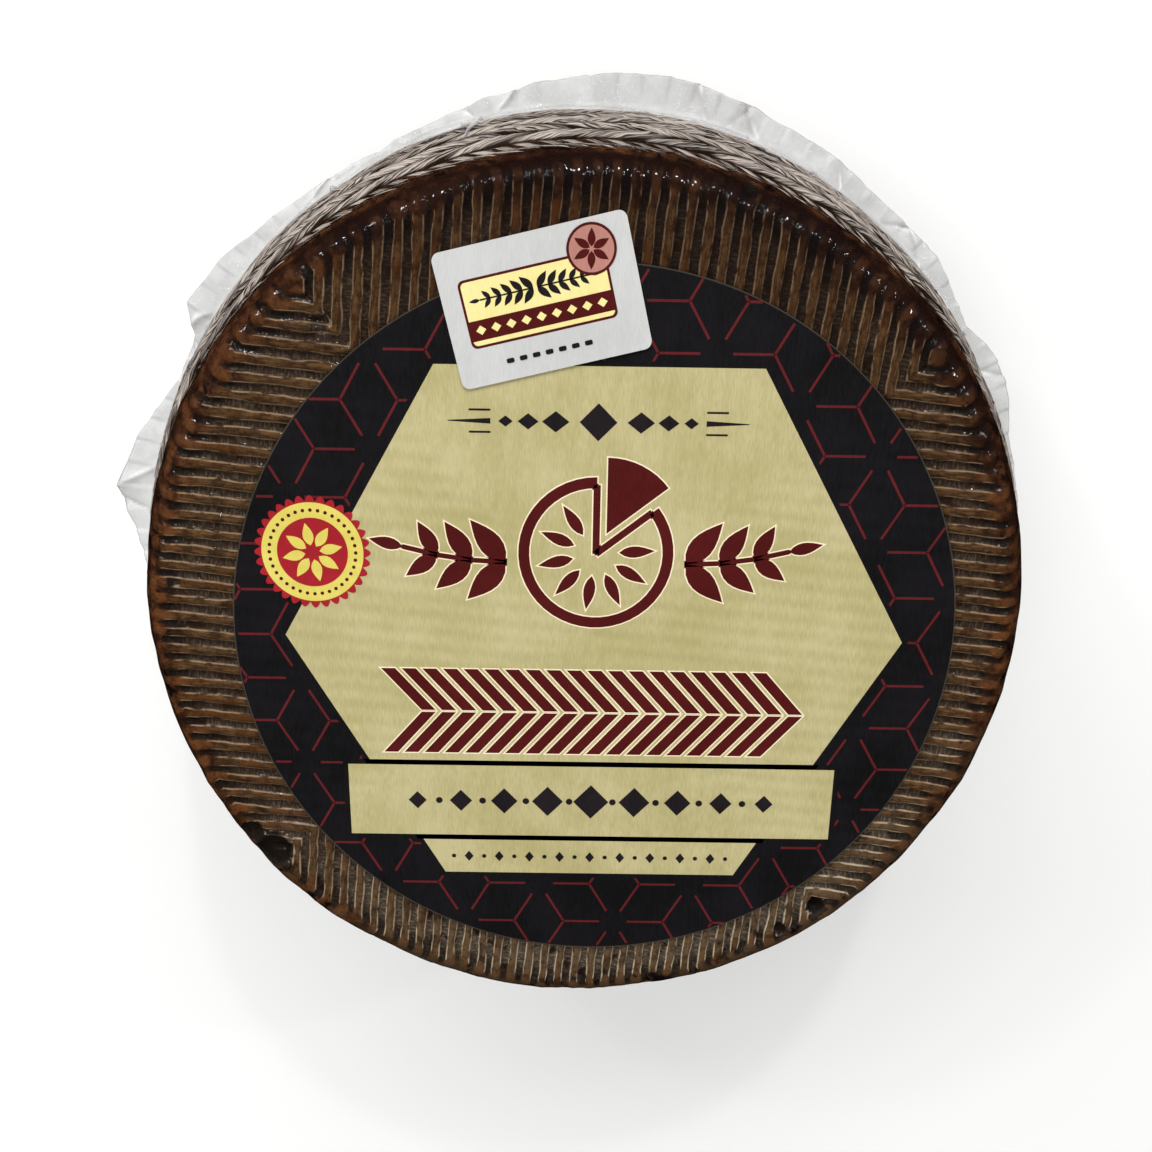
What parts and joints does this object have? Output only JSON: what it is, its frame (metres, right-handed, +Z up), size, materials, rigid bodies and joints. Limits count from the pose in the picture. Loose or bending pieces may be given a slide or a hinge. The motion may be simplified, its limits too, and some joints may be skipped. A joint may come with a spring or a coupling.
{
  "type": "hard aged cheese wheel in clear film",
  "caption": "Whole hard aged sheep's cheese wheel in clear film, lying flat: ridged pressed faces, plaited side print, round paper label and a small control label on its face.",
  "frame": {"origin": "centre of the wheel's flat underside, on its axis", "axes": "+Z up along the wheel's axis, out of the labelled face; +Y to the label's top; +X to the label's right"},
  "size_m": [0.219, 0.2176, 0.1032],
  "materials": {
    "rind": "dark brown waxed cheese rind under tight glossy film",
    "film": "clear glossy shrink film",
    "label": "satin printed paper, cream on black",
    "tag": "white satin paper"
  },
  "bodies": {
    "root": {"cheese_wheel": "rind", "film_skirt": "film", "round_label": "label", "control_label": "tag"}
  },
  "joints": []
}
